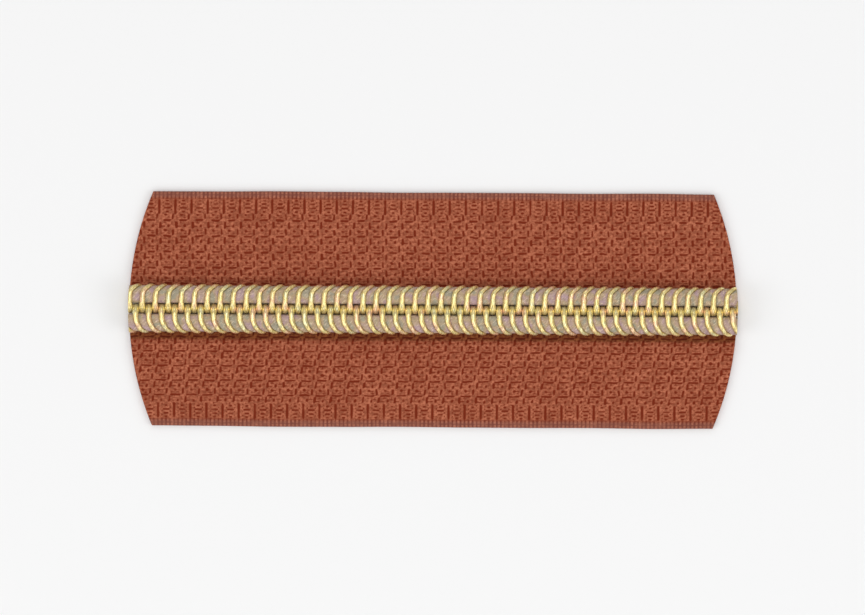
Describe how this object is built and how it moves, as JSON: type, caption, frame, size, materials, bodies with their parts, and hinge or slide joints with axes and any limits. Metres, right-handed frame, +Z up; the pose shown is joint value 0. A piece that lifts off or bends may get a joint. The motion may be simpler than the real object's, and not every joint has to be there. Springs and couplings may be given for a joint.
{
  "type": "coil zipper chain",
  "caption": "Closed length of coil zipper chain: two woven tapes joined by two meshed metallic coils, round-cut ends, no slider.",
  "frame": {"origin": "below the middle of the chain, at the height of the lowest sewing thread, where the part rests on a table", "axes": "+X along the chain, +Y towards the rear tape, +Z up out of the face that carries the coils"},
  "size_m": [0.0776, 0.03, 0.003],
  "materials": {
    "coil": "metallised polyester monofilament, soft gold lustre",
    "core": "multifilament cord, undyed tan",
    "tape": "matte woven polyester, brick brown",
    "thread": "polyester sewing thread, matched to the tape"
  },
  "bodies": {
    "rear_stringer": {"rear_coil": "coil", "rear_core_cord": "core", "rear_tape_strip": "tape", "rear_needle_thread_inner": "thread", "rear_needle_thread_outer": "thread", "rear_looper_thread_inner": "thread", "rear_looper_thread_outer": "thread"},
    "rear_wing": {"rear_tape_wing": "tape"},
    "front_stringer": {"front_coil": "coil", "front_core_cord": "core", "front_tape_strip": "tape", "front_needle_thread_inner": "thread", "front_needle_thread_outer": "thread", "front_looper_thread_inner": "thread", "front_looper_thread_outer": "thread"},
    "front_wing": {"front_tape_wing": "tape"}
  },
  "joints": [
    {"name": "stringer_separation", "type": "slide", "parent": "rear_stringer", "child": "front_stringer", "axis": [0, 0, 1], "range_m": [0, 0.006]},
    {"name": "rear_tape_fold", "type": "hinge", "parent": "rear_stringer", "child": "rear_wing", "pos_m": [0, 0.0036, 0.00038], "axis": [1, 0, 0], "range_deg": [-90, 90]},
    {"name": "front_tape_fold", "type": "hinge", "parent": "front_stringer", "child": "front_wing", "pos_m": [0, -0.0036, 0.00038], "axis": [-1, 0, 0], "range_deg": [-90, 90]}
  ]
}
